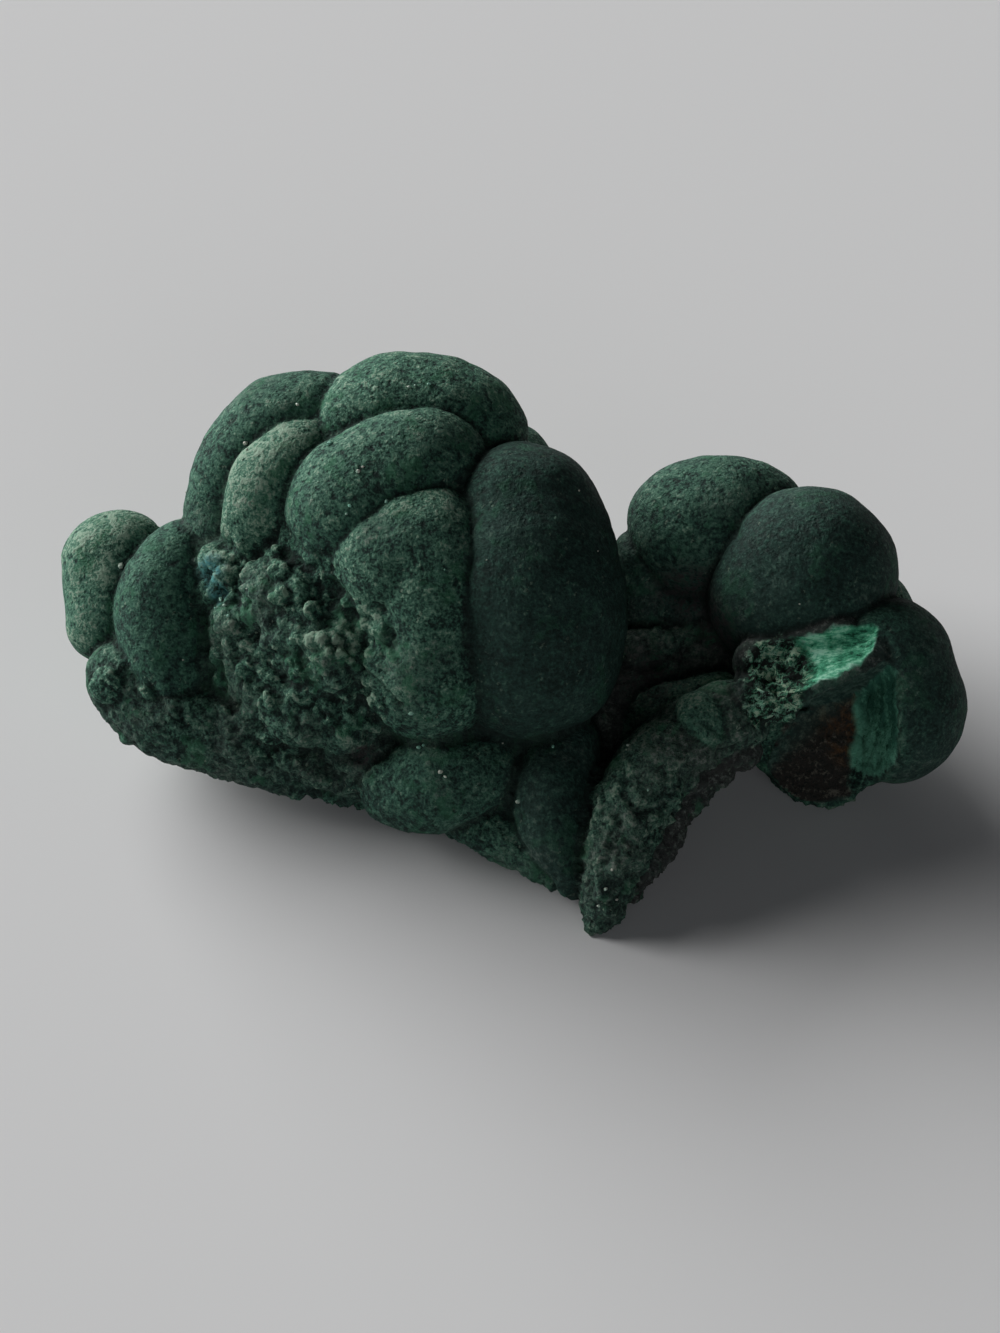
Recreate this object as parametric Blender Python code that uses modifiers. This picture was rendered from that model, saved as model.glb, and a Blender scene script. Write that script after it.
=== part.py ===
"""Malachite specimen: a botryoidal lump that grew as one piece, so it is one solid.

The lobes are strings of balls laid out on a slope that leans back, because the whole cluster faces
up and forward. A place on the slope is (across, up, out): millimetres to the right, up the slope,
and out of it towards the front. A fourth number is the radius of the ball there.
Order of work: balls, fused skin, broken hollow, rough skin, flat base.
"""

import math
import random

import bmesh
import bpy
from mathutils import Matrix, Vector, noise

MM = 0.001
SLOPE = math.radians(45)
SHIFT = Vector((0.3, 8.8, 0.0))  # brings the middle of the footprint onto the origin, in mm

BALL_STEP = 0.25  # spacing of the balls along a lobe, as a share of their radius
FINE_BALL = 1.5  # a ball of at least this radius is made from the finer sphere, mm
SKIN_VOXEL = 0.4
TRIANGLES = 9400
FLOOR_BLOCK = 120  # side of the block that planes the base flat, mm
GRAPE_SEED = 11
BEND_SEED = 11  # of the noise that bends the knobs, which would otherwise follow the clock
GRAPE_COUNT = 70
GRAPE_TRIES = 12  # places tried for each grape wanted
GRAPE_SMALLEST, GRAPE_LARGEST = 1.0, 2.0
GRAPE_SINK = 0.76  # how far a grape sits below the skin it grew on, as a share of its radius
GRAPE_GAP = 0.62  # least distance between two grapes, as a share of their radii together
LUMP_SIZE, LUMP_HEIGHT = 3.2, 0.18  # gentle unevenness of the smooth lobes, mm
RIPPLE_SIZE, RIPPLE_HEIGHT = 1.5, 0.08
CRAG_SIZE, CRAG_HEIGHT = 1.7, 0.60  # the broken, craggy places, mm
CRAG_MIDDLE = 0.6  # the usual value of the crag pattern, which leaves the skin where it is
KNOBS = [(3.1, 0.75), (1.6, 0.62)]  # size and height of the knobs of the cobbled places, mm
KNOB_MIDDLE = 0.6
KNOB_BEND, KNOB_BEND_SIZE = 0.35, 1.6  # how far, and how finely, their outlines are bent out of round
LEDGE_STRETCH = 1.7  # the knobs are drawn out this much along the ledges that run down to the right
COLOUR = (0.05, 0.11, 0.08, 1)
ROUGHNESS = 0.85

MAIN_DOME = {
    "core": [(-7.1, 6.4, 11.2, 9.8)],
    "outer_left": [
        (-18.7, 8.0, 10.8, 3.3), (-17.7, 11.0, 11.4, 3.6), (-15.1, 13.7, 11.8, 3.9), (-12.1, 14.2, 12.0, 3.6),
    ],
    "top": [
        (-9.8, 13.6, 13.0, 4.1), (-7.9, 13.9, 12.5, 5.0), (-5.3, 14.0, 12.5, 4.9),
        (-3.5, 13.4, 12.3, 4.6),
    ],
    "inner_left": [
        (-16.4, 7.4, 13.9, 2.8), (-15.8, 9.8, 14.7, 3.0), (-14.1, 11.8, 14.7, 2.8), (-12.4, 13.0, 13.7, 2.1),
    ],
    "upper": [(-9.8, 8.4, 16.0, 5.2), (-6.8, 10.4, 16.0, 4.8), (-5.4, 11.0, 15.6, 4.3)],
    "middle": [
        (-7.2, 5.0, 17.7, 4.9), (-5.3, 5.8, 18.2, 4.5), (-5.0, 3.0, 18.5, 4.4), (-5.3, 0.4, 18.1, 4.4),
        (-5.3, -1.6, 17.4, 4.9),
    ],
    "right_bean": [(0.4, 7.0, 16.0, 5.8), (0.8, 2.9, 16.9, 6.6), (1.1, -0.6, 16.4, 6.1)],
}
FRONT = {
    "step": [(-7.3, -9.5, 15.3, 2.9), (-4.7, -9.3, 16.0, 3.4), (-2.1, -8.8, 16.0, 3.2)],
    "flank": [
        (3.1, -6.9, 15.5, 2.7), (2.4, -10.4, 16.8, 3.0), (3.2, -13.6, 17.6, 2.2),
        (4.0, -15.5, 18.1, 1.3),
    ],
    "under_dome": [(-7.4, -6.6, 12.5, 4.1), (-2.1, -7.3, 12.5, 4.4), (1.8, -7.9, 13.0, 4.0)],
    "front_foot": [
        (-7.4, -9.9, 12.8, 2.0), (-4.7, -10.6, 13.8, 2.2), (-1.4, -12.0, 15.8, 2.3),
        (2.9, -14.8, 17.4, 1.5),
    ],
    "left_toe": [(-9.9, -10.8, 11.7, 0.9)],
}
LEFT_SIDE = {
    "far_left": [(-26.5, 4.9, 8.7, 3.9), (-27.0, 1.4, 9.5, 3.0)],
    "near_left": [
        (-21.9, 5.5, 10.8, 2.6), (-22.9, 3.4, 11.5, 3.3), (-22.9, 0.6, 12.0, 3.5), (-22.7, -2.4, 12.0, 3.4),
    ],
    "behind": [(-23.1, 0.0, 8.5, 4.0), (-19.0, -1.3, 8.5, 5.1), (-14.3, -4.0, 9.0, 4.7)],
}
RIGHT_SIDE = {
    "back_right": [(12.5, 7.2, 10.2, 5.0), (14.2, 7.6, 10.3, 4.8), (15.9, 7.6, 10.0, 4.2)],
    "beside_it": [(9.7, 5.4, 9.7, 3.0), (9.6, 2.9, 9.5, 2.8), (12.6, 2.0, 10.4, 2.6)],
    "big_right": [(18.3, 2.9, 13.0, 5.6), (19.4, 4.1, 13.4, 6.0)],
    "far_right": [(23.8, -2.1, 15.0, 5.1), (24.6, -4.3, 14.8, 5.1)],
    "valley_ledge": [(8.6, -1.0, 11.2, 1.8), (12.4, 0.1, 11.6, 1.7)],
    "valley_floor": [
        (6.2, -5.5, 10.4, 4.0), (10.0, -3.3, 9.0, 4.2), (15.2, 0.2, 9.8, 4.0), (17.2, -3.3, 10.5, 3.7),
    ],
    "lip": [(16.1, -1.5, 16.5, 1.9), (18.6, -0.9, 17.0, 2.0), (21.0, -0.3, 17.1, 2.3)],
    "rim": [
        (15.0, -4.2, 18.0, 2.0), (17.8, -3.2, 18.2, 2.0), (20.7, -2.6, 18.4, 2.1),
        (23.2, -1.4, 18.0, 2.2),
    ],
}
# The lobes that the small grapes grew on.
GRAPY = {
    "left_shoulder": [
        (-17.3, 4.3, 12.5, 3.3), (-16.5, 0.0, 13.0, 3.8), (-14.0, -3.3, 13.5, 4.3), (-10.9, -4.0, 14.5, 4.3),
    ],
    "left_brow": [(-13.9, 2.6, 15.0, 4.0), (-11.2, -0.7, 16.3, 4.0)],
    "low_left": [
        (-25.3, -2.6, 11.4, 3.1), (-22.7, -4.8, 12.0, 3.3), (-18.7, -6.0, 12.4, 3.3),
        (-14.7, -6.9, 12.8, 3.4), (-10.7, -7.7, 13.2, 3.3), (-8.9, -7.5, 14.0, 3.0),
    ],
}
RIDGE = {
    "ridge": [
        (5.6, -18.0, 18.8, 1.2), (6.1, -15.6, 18.6, 2.2), (6.9, -12.9, 18.4, 2.7), (8.1, -10.3, 18.0, 2.9),
        (9.6, -8.1, 17.8, 2.8), (11.9, -6.2, 17.6, 2.7), (14.4, -4.9, 17.5, 2.5),
    ],
    "ridge_knob": [(12.2, -5.6, 18.2, 2.4)],
    "ridge_side": [
        (7.1, -15.8, 17.8, 1.7), (8.8, -13.3, 17.2, 1.9), (10.3, -10.4, 16.8, 2.1),
        (12.6, -8.0, 17.0, 1.8), (14.7, -7.1, 17.0, 1.6),
    ],
}
# The brown rock inside the right side, which the broken crust leaves open.
LINING = {"lining": [(18.4, -5.8, 12.0, 3.4), (20.1, -7.7, 11.6, 3.6), (22.4, -7.0, 12.0, 3.3)]}
# Behind and below, given as right, back and up from the floor: nothing of it shows from the front.
BACK = {
    "dome_back_left": [(-13.2, 2.4, 11.0, 4.6)],
    "dome_back_middle": [(-8.4, 4.2, 13.4, 5.0), (-6.8, 4.6, 12.2, 4.8)],
    "dome_back_right": [(-1.4, 3.2, 11.6, 4.8)],
    "dome_back_low": [(-11.0, 4.0, 6.6, 4.1)],
    "dome_back_low_right": [(-4.2, 4.8, 6.2, 4.4)],
    "dome_corner_left": [(-15.2, -0.4, 5.4, 3.9)],
    "dome_corner_right": [(0.8, 0.6, 5.2, 3.9)],
    "dome_heel": [(-8.0, 3.4, 3.0, 4.0)],
    "dome_foot": [(-11.0, -3.5, 3.4, 4.2), (-6.5, -2.5, 2.9, 4.4), (-1.5, -4.0, 3.2, 4.2)],
    "left_back": [(-21.8, -1.6, 8.4, 3.5), (-19.4, -3.6, 5.4, 3.6)],
    "left_back_knob": [(-24.4, -4.2, 6.2, 3.0)],
    "bridge_back": [(3.6, -2.2, 8.2, 3.9), (7.4, -3.0, 5.8, 3.7), (11.0, -2.4, 5.6, 3.7)],
    "right_back": [(14.4, 1.2, 8.8, 4.1)],
    "right_back_side": [(19.0, -0.6, 7.4, 4.2)],
    "right_back_corner": [(23.0, -5.8, 7.4, 4.2)],
    "right_foot": [(13.8, -0.8, 3.4, 3.9), (18.0, -4.6, 4.4, 3.8)],
    "under_ridge": [(9.6, -12.6, 4.2, 3.4), (13.6, -11.6, 4.8, 3.4)],
    "right_toe": [(19.4, -13.6, 3.0, 3.3)],
}

# Single grapes large enough to know by their place.
GRAPES = [
    (-19.4, 5.2, 13.9, 1.3), (-18, 5.4, 14.4, 1.3), (-18.9, 3.5, 14.6, 1.1), (-14.8, 4.1, 17.5, 1.3),
    (-14.7, 2.6, 17.9, 1.3), (-19.1, -1, 14.7, 0.95), (-18.9, -2.6, 14.3, 0.95), (-17, -1.9, 16.0, 1.2),
    (-9.1, 1.2, 19.3, 1), (-12.2, -0.1, 19.1, 1.25), (-10.7, -1, 19.4, 1.1), (-13.6, -0.1, 18.7, 1.1),
    (-10.3, 2.5, 19.4, 0.95), (-11.7, 2.5, 18.5, 1), (-13.6, -2, 18.4, 1.1), (-15.6, -3.9, 16.6, 1.1),
    (-10.1, -3.3, 18.3, 1), (-11.7, -5.2, 17.7, 1), (-7.4, -0.1, 20.8, 1.05), (-8.4, -3.9, 19.6, 1),
]

# The broken hollow: corners of the wedge that is missing between the ridge and the far right lobe.
HOLLOW = [
    (22.8, -3.3, 15.0), (24.4, -1.2, 20.5), (25.2, -1.0, 26.0), (22.5, -10.4, 13.2), (24.9, -10.4, 19.0),
    (25.6, -10.4, 26.0), (18.6, -4.4, 15.2), (18.4, -4.0, 26.0), (16.5, -9.0, 13.4), (16.0, -12.5, 13.0),
    (16.0, -12.5, 26.0), (16.4, -9.0, 26.0),
]
# The shelf of fresh break along the top of it, cut off the rim.
SHELF = [
    (15.4, -0.7, 17.4), (23.7, 1.1, 18.4), (22.5, -1.5, 20.3), (18.6, -3.0, 20.0), (16.0, -3.8, 19.6),
    (15.4, -0.7, 26.0), (23.7, 1.1, 26.0), (22.5, -1.5, 26.0), (18.6, -3.0, 26.0), (16.0, -3.8, 26.0),
]
PITS = [(16.6, -2.2, 18.9, 0.75), (17.6, -1.6, 19.0, 0.6), (15.5, -4.2, 19.2, 0.7), (17.1, -3.5, 19.5, 0.6)]

# Where the skin is craggy: a place on the slope and how far the cragginess reaches.
CRAGGY = [
    (6.5, -16.0, 19.5, 4.5), (8.5, -11.5, 19.5, 5.5), (12.0, -8.0, 18.5, 4.5), (16.0, -3.5, 19.0, 3.5),
    (20.0, -7.0, 14.5, 4.5), (-20.0, -7.0, 12.0, 4.0), (-13.0, -8.5, 12.5, 4.5), (0.0, -13.5, 14.5, 3.5),
]
CRAGGY_BELOW = 3.0  # the broken underside is craggy up to this height, mm
# Where knobs cobble the skin.
COBBLED = [
    (-18.5, 4.2, 15.5, 3.4), (-13.6, 3.1, 18.0, 4.8), (-17.0, 0.0, 16.5, 4.6), (-11.6, -0.7, 19.5, 4.6),
    (-9.0, 0.0, 20.8, 3.2), (-14.3, -4.6, 17.2, 5.0), (-10.4, -4.5, 18.7, 4.4), (-13.8, -8.0, 15.8, 4.4),
]


def clear_scene():
    for thing in list(bpy.data.objects):
        bpy.data.objects.remove(thing, do_unlink=True)


def on_slope(across, up, out):
    """The point, in millimetres, at a place on the slope."""
    back = up * math.cos(SLOPE) - out * math.sin(SLOPE)
    height = up * math.sin(SLOPE) + out * math.cos(SLOPE)
    return Vector((across, back, height)) + SHIFT


def on_floor(right, back, up):
    return Vector((right, back, up)) + SHIFT


def curve_point(before, start, end, after, t):
    """A Catmull-Rom curve through start and end."""
    return 0.5 * (
        2 * start
        + (end - before) * t
        + (2 * before - 5 * start + 4 * end - after) * t**2
        + (3 * start - before - 3 * end + after) * t**3
    )


def string_of_balls(places, place_at):
    """Balls along a smooth line through the places, close enough together to read as one lobe."""
    knots = [place_at(*place[:3]).to_4d() for place in places]
    for knot, place in zip(knots, places):
        knot.w = place[3]
    line = [knots[0]]
    last = len(places) - 1
    for i in range(last):
        ends = [knots[max(i - 1, 0)], knots[i], knots[i + 1], knots[min(i + 2, last)]]
        length = (knots[i + 1] - knots[i]).to_3d().length
        count = math.ceil(length / (BALL_STEP * min(knots[i].w, knots[i + 1].w)))
        line += [curve_point(*ends, step / count) for step in range(1, count + 1)]
    return [(knot.to_3d(), knot.w) for knot in line]


def lobes(groups, place_at=on_slope):
    return [ball for places in groups.values() for ball in string_of_balls(places, place_at)]


def scattered_grapes(hosts, body):
    """Small balls crowded over the host lobes, sunk in wherever the skin shows."""
    chance = random.Random(GRAPE_SEED)
    grapes = []
    for _ in range(GRAPE_COUNT * GRAPE_TRIES):
        centre, host_radius = chance.choice(hosts)
        way = Vector([chance.gauss(0, 1) for _ in range(3)]).normalized()
        radius = GRAPE_SMALLEST + (GRAPE_LARGEST - GRAPE_SMALLEST) * chance.random() ** 2
        spot = centre + way * (host_radius - GRAPE_SINK * radius)
        buried = any((spot - other).length < size - radius * GRAPE_SINK for other, size in body)
        crowded = any((spot - other).length < GRAPE_GAP * (radius + size) for other, size in grapes)
        if not (buried or crowded or spot.z < radius):
            grapes.append((spot, radius))
        if len(grapes) == GRAPE_COUNT:
            break
    return grapes


def unit_ball(rounds):
    shape = bmesh.new()
    bmesh.ops.create_icosphere(shape, subdivisions=rounds, radius=1)
    mesh = bpy.data.meshes.new("unit_ball")
    shape.to_mesh(mesh)
    shape.free()
    return mesh


def mesh_of_balls(name, balls):
    """One mesh holding every ball as its own closed sphere."""
    fine, coarse = unit_ball(3), unit_ball(2)
    shape = bmesh.new()
    for centre, radius in balls:
        ball = (fine if radius > FINE_BALL else coarse).copy()
        ball.transform(Matrix.Translation(centre * MM) @ Matrix.Scale(radius * MM, 4))
        shape.from_mesh(ball)
        bpy.data.meshes.remove(ball)
    mesh = bpy.data.meshes.new(name)
    shape.to_mesh(mesh)
    shape.free()
    for unit in (fine, coarse):
        bpy.data.meshes.remove(unit)
    return mesh


def cutter(name, mesh):
    """A helper that is subtracted and never shown."""
    helpers = bpy.data.collections.get("cutters")
    if helpers is None:
        helpers = bpy.data.collections.new("cutters")
        bpy.context.scene.collection.children.link(helpers)
    tool = bpy.data.objects.new(name, mesh)
    tool.hide_render = True
    tool.display_type = "WIRE"
    helpers.objects.link(tool)
    return tool


def wedge_cutter(name, corners):
    shape = bmesh.new()
    for corner in corners:
        shape.verts.new(on_slope(*corner) * MM)
    bmesh.ops.convex_hull(shape, input=shape.verts)
    bmesh.ops.recalc_face_normals(shape, faces=shape.faces)
    mesh = bpy.data.meshes.new(name)
    shape.to_mesh(mesh)
    shape.free()
    return cutter(name, mesh)


def floor_cutter(size):
    """A block whose top is the floor."""
    shape = bmesh.new()
    bmesh.ops.create_cube(shape, size=size * MM, matrix=Matrix.Translation((0, 0, -size * MM / 2)))
    mesh = bpy.data.meshes.new("below_floor")
    shape.to_mesh(mesh)
    shape.free()
    return cutter("below_floor", mesh)


def subtract(body, tool):
    cut = body.modifiers.new(f"less {tool.name}", "BOOLEAN")
    cut.operation = "DIFFERENCE"
    cut.solver = "EXACT"
    cut.object = tool


def fuse(body):
    """Melts what overlaps into one closed skin."""
    remesh = body.modifiers.new("fuse", "REMESH")
    remesh.mode = "VOXEL"
    remesh.voxel_size = SKIN_VOXEL * MM


def apply_modifiers(body):
    bpy.context.view_layer.update()
    made = bpy.data.meshes.new_from_object(body.evaluated_get(bpy.context.evaluated_depsgraph_get()))
    body.modifiers.clear()
    body.data = made
    made.name = body.name


def slope_place(point):
    """The place on the slope of a point in millimetres."""
    right, back, height = point - SHIFT
    return Vector((right, (back + height) * math.cos(SLOPE), (height - back) * math.cos(SLOPE)))


def nearness(place, spots):
    """From 0 away from the spots to 1 in the middle of one."""
    far = min((place - Vector(spot)).length / reach for *spot, reach in spots)
    return max(0.0, min(1.0, 2 * (1 - far)))


def cragginess(point, place):
    """From 0 on the smooth lobes to 1 in the middle of a craggy place or near the floor."""
    low = max(0.0, min(1.0, 2 * (CRAGGY_BELOW - point.z) / CRAGGY_BELOW))
    return max(low, nearness(place, CRAGGY))


def knobs(place, size):
    """Rounded knobs side by side: 0 in a crease, 1 on top."""
    ledge = (place.x - place.y) / math.sqrt(2) * (1 - 1 / LEDGE_STRETCH) / math.sqrt(2)
    spot = (place - Vector((ledge, -ledge, 0))) / size
    spot += KNOB_BEND * noise.noise_vector(spot * KNOB_BEND_SIZE)
    nearest, following = noise.voronoi(spot)[0][:2]
    return 0.6 * max(0.0, 1 - nearest**2) + 0.4 * min(1.0, 2.5 * (following - nearest))


def roughen(mesh):
    """Moves the skin in and out: gently on the lobes, in knobs and crags where it has them."""
    moves = []
    for vertex in mesh.vertices:
        point = vertex.co / MM
        place = slope_place(point)
        lump = noise.noise(point / LUMP_SIZE) * LUMP_HEIGHT
        lump += noise.noise(point / RIPPLE_SIZE) * RIPPLE_HEIGHT
        crag = cragginess(point, place)
        if crag > 0:
            lump += crag * CRAG_HEIGHT * (noise.turbulence(point / CRAG_SIZE, 3, True) - CRAG_MIDDLE)
        cobbled = nearness(place, COBBLED)
        for size, height in KNOBS if cobbled > 0 else ():
            lump += cobbled * height * (knobs(place, size) - KNOB_MIDDLE)
        moves.append(vertex.normal * lump * MM)
    for vertex, move in zip(mesh.vertices, moves):
        vertex.co += move


def stand_on_origin(mesh):
    """Puts the middle of the footprint exactly over the origin."""
    across = [vertex.co.x for vertex in mesh.vertices]
    back = [vertex.co.y for vertex in mesh.vertices]
    middle = Vector(((min(across) + max(across)) / 2, (min(back) + max(back)) / 2, 0))
    mesh.transform(Matrix.Translation(-middle))


def malachite_material():
    green = bpy.data.materials.new("malachite")
    green.use_nodes = True
    skin = green.node_tree.nodes["Principled BSDF"]
    skin.inputs["Base Color"].default_value = COLOUR
    skin.inputs["Roughness"].default_value = ROUGHNESS
    green.diffuse_color = COLOUR
    return green


def malachite():
    smooth = lobes(MAIN_DOME) + lobes(FRONT) + lobes(LEFT_SIDE) + lobes(RIGHT_SIDE) + lobes(LINING)
    smooth += lobes(BACK, on_floor)
    grapy = lobes(GRAPY)
    body_balls = smooth + grapy + lobes(RIDGE)
    grapes = [(on_slope(*place[:3]), place[3]) for place in GRAPES] + scattered_grapes(grapy, body_balls)
    body = bpy.data.objects.new("malachite", mesh_of_balls("malachite", body_balls + grapes))
    home = bpy.data.collections.new("malachite_specimen")
    bpy.context.scene.collection.children.link(home)
    home.objects.link(body)
    fuse(body)
    apply_modifiers(body)

    subtract(body, wedge_cutter("hollow", HOLLOW))
    subtract(body, wedge_cutter("shelf", SHELF))
    for *pit, radius in PITS:
        subtract(body, cutter("pit", mesh_of_balls("pit", [(on_slope(*pit), radius)])))
    fuse(body)
    apply_modifiers(body)
    roughen(body.data)

    thin = body.modifiers.new("thin out", "DECIMATE")
    body.data.calc_loop_triangles()
    thin.ratio = TRIANGLES / len(body.data.loop_triangles)
    apply_modifiers(body)
    stand_on_origin(body.data)
    subtract(body, floor_cutter(FLOOR_BLOCK))
    apply_modifiers(body)
    body.data.shade_smooth()
    body.data.materials.clear()
    body.data.materials.append(malachite_material())
    return body


clear_scene()
noise.seed_set(BEND_SEED)
malachite()
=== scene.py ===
"""Malachite specimen on a pale floor: the solid, dressed as the real mineral."""

import math
import random

import bmesh
import bpy
import numpy as np
from mathutils import Matrix, Vector, noise


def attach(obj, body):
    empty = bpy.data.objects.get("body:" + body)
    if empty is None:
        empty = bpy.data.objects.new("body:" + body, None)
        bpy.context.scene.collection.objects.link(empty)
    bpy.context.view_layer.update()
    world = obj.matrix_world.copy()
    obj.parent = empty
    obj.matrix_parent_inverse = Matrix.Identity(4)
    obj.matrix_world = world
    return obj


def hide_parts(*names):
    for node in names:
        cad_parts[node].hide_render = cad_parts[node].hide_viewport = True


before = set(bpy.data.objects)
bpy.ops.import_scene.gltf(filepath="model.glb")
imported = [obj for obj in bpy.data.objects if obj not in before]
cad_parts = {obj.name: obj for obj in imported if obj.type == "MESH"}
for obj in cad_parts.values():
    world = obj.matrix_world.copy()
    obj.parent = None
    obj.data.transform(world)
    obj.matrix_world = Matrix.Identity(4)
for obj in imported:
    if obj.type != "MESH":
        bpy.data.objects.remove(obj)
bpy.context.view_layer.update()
scene = bpy.context.scene
MM = 0.001

# --- Camera -----------------------------------------------------------------------------------
# A hand-held camera 200 mm away, looking down at the lobed front of the specimen at 45 degrees,
# square to the plane that the lobes lean back along.

CAMERA_AIM = Vector((-0.5, -0.93, 7.24)) * MM
CAMERA_DISTANCE = 200 * MM
CAMERA_DOWN = math.radians(45)
camera = bpy.data.objects.new("camera", bpy.data.cameras.new("camera"))
camera.data.lens = 81.5
camera.data.sensor_width = 36
camera.data.clip_start = 5 * MM
camera.location = CAMERA_AIM + CAMERA_DISTANCE * Vector((0, -math.cos(CAMERA_DOWN), math.sin(CAMERA_DOWN)))
camera.rotation_euler = (math.pi / 2 - CAMERA_DOWN, 0, 0)
scene.collection.objects.link(camera)
scene.camera = camera

# --- Malachite --------------------------------------------------------------------------------
# The whole specimen: one lump of botryoidal malachite, grown as rounded lobes with small grapes on
# the left, and broken open on the right over a brown, granular hollow. The lobes are strings of
# balls melted into one skin, cut where it broke, and then given the relief of the real surface.

SLOPE = math.radians(45)
SHIFT = Vector((0.3, 8.8, 0.0))
BALL_STEP = 0.25
SKIN_VOXEL = 0.39
GRAPE_SEED = 11
GRAPE_COUNT = 70
GRAPE_TRIES = 12  # for each grape, since most spots are buried or taken
GRAPE_SMALLEST, GRAPE_LARGEST = 1.0, 2.0
GRAPE_SINK = 0.76
GRAPE_GAP = 0.62
FINE_BALL = 1.5  # a ball larger than this is made with more faces
LUMP_SIZE, LUMP_HEIGHT = 3.2, 0.18
RIPPLE_SIZE, RIPPLE_HEIGHT = 1.5, 0.08
CRAG_SIZE, CRAG_HEIGHT = 1.7, 0.60

# A place on the slope is (across, up, out) in mm, and a fourth number is the radius of the ball there.
MAIN_DOME = {
    "core": [(-7.1, 6.4, 11.2, 9.8)],
    "outer_left": [
        (-18.7, 8.0, 10.8, 3.3), (-17.7, 11.0, 11.4, 3.6), (-15.1, 13.7, 11.8, 3.9),
        (-12.1, 14.2, 12.0, 3.6),
    ],
    "top": [
        (-9.8, 13.6, 13.0, 4.1), (-7.9, 13.9, 12.5, 5.0), (-5.3, 14.0, 12.5, 4.9),
        (-3.5, 13.4, 12.3, 4.6),
    ],
    "inner_left": [
        (-16.4, 7.4, 13.9, 2.8), (-15.8, 9.8, 14.7, 3.0), (-14.1, 11.8, 14.7, 2.8),
        (-12.4, 13.0, 13.7, 2.1),
    ],
    "upper": [(-9.8, 8.4, 16.0, 5.2), (-6.8, 10.4, 16.0, 4.8), (-5.4, 11.0, 15.6, 4.3)],
    "middle": [
        (-7.2, 5.0, 17.7, 4.9), (-5.3, 5.8, 18.2, 4.5), (-5.0, 3.0, 18.5, 4.4), (-5.3, 0.4, 18.1, 4.4),
        (-5.3, -1.6, 17.4, 4.9),
    ],
    "right_bean": [(0.4, 7.0, 16.0, 5.8), (0.8, 2.9, 16.9, 6.6), (1.1, -0.6, 16.4, 6.1)],
}
FRONT = {
    "step": [(-7.3, -9.5, 15.3, 2.9), (-4.7, -9.3, 16.0, 3.4), (-2.1, -8.8, 16.0, 3.2)],
    "flank": [
        (3.1, -6.9, 15.5, 2.7), (2.4, -10.4, 16.8, 3.0), (3.2, -13.6, 17.6, 2.2),
        (4.0, -15.5, 18.1, 1.3),
    ],
    "under_dome": [(-7.4, -6.6, 12.5, 4.1), (-2.1, -7.3, 12.5, 4.4), (1.8, -7.9, 13.0, 4.0)],
    "front_foot": [
        (-7.4, -9.9, 12.8, 2.0), (-4.7, -10.6, 13.8, 2.2), (-1.4, -12.0, 15.8, 2.3),
        (2.9, -14.8, 17.4, 1.5),
    ],
    "left_toe": [(-9.9, -10.8, 11.7, 0.9)],
}
LEFT_SIDE = {
    "far_left": [(-26.5, 4.9, 8.7, 3.9), (-27.0, 1.4, 9.5, 3.0)],
    "near_left": [
        (-21.9, 5.5, 10.8, 2.6), (-22.9, 3.4, 11.5, 3.3), (-22.9, 0.6, 12.0, 3.5), (-22.7, -2.4, 12.0, 3.4),
    ],
    "behind": [(-23.1, 0.0, 8.5, 4.0), (-19.0, -1.3, 8.5, 5.1), (-14.3, -4.0, 9.0, 4.7)],
}
RIGHT_SIDE = {
    "back_right": [(12.5, 7.2, 10.2, 5.0), (14.2, 7.6, 10.3, 4.8), (15.9, 7.6, 10.0, 4.2)],
    "beside_it": [(9.7, 5.4, 9.7, 3.0), (9.6, 2.9, 9.5, 2.8), (12.6, 2.0, 10.4, 2.6)],
    "big_right": [(18.3, 2.9, 13.0, 5.6), (19.4, 4.1, 13.4, 6.0)],
    "far_right": [(23.8, -2.1, 15.0, 5.1), (24.6, -4.3, 14.8, 5.1)],
    "valley_ledge": [(8.6, -1.0, 11.2, 1.8), (12.4, 0.1, 11.6, 1.7)],
    "valley_floor": [
        (6.2, -5.5, 10.4, 4.0), (10.0, -3.3, 9.0, 4.2), (15.2, 0.2, 9.8, 4.0), (17.2, -3.3, 10.5, 3.7),
    ],
    "lip": [(16.1, -1.5, 16.5, 1.9), (18.6, -0.9, 17.0, 2.0), (21.0, -0.3, 17.1, 2.3)],
    "rim": [
        (15.0, -4.2, 18.0, 2.0), (17.8, -3.2, 18.2, 2.0), (20.7, -2.6, 18.4, 2.1),
        (23.2, -1.4, 18.0, 2.2),
    ],
}
GRAPY = {
    "left_shoulder": [
        (-17.3, 4.3, 12.5, 3.3), (-16.5, 0.0, 13.0, 3.8), (-14.0, -3.3, 13.5, 4.3),
        (-10.9, -4.0, 14.5, 4.3),
    ],
    "left_brow": [(-13.9, 2.6, 15.0, 4.0), (-11.2, -0.7, 16.3, 4.0)],
    "low_left": [
        (-25.3, -2.6, 11.4, 3.1), (-22.7, -4.8, 12.0, 3.3), (-18.7, -6.0, 12.4, 3.3),
        (-14.7, -6.9, 12.8, 3.4), (-10.7, -7.7, 13.2, 3.3), (-8.9, -7.5, 14.0, 3.0),
    ],
}
RIDGE = {
    "ridge": [
        (5.6, -18.0, 18.8, 1.2), (6.1, -15.6, 18.6, 2.2), (6.9, -12.9, 18.4, 2.7), (8.1, -10.3, 18.0, 2.9),
        (9.6, -8.1, 17.8, 2.8), (11.9, -6.2, 17.6, 2.7), (14.4, -4.9, 17.5, 2.5),
    ],
    "ridge_knob": [(12.2, -5.6, 18.2, 2.4)],
    "ridge_side": [
        (7.1, -15.8, 17.8, 1.7), (8.8, -13.3, 17.2, 1.9), (10.3, -10.4, 16.8, 2.1),
        (12.6, -8.0, 17.0, 1.8), (14.7, -7.1, 17.0, 1.6),
    ],
}
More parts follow.
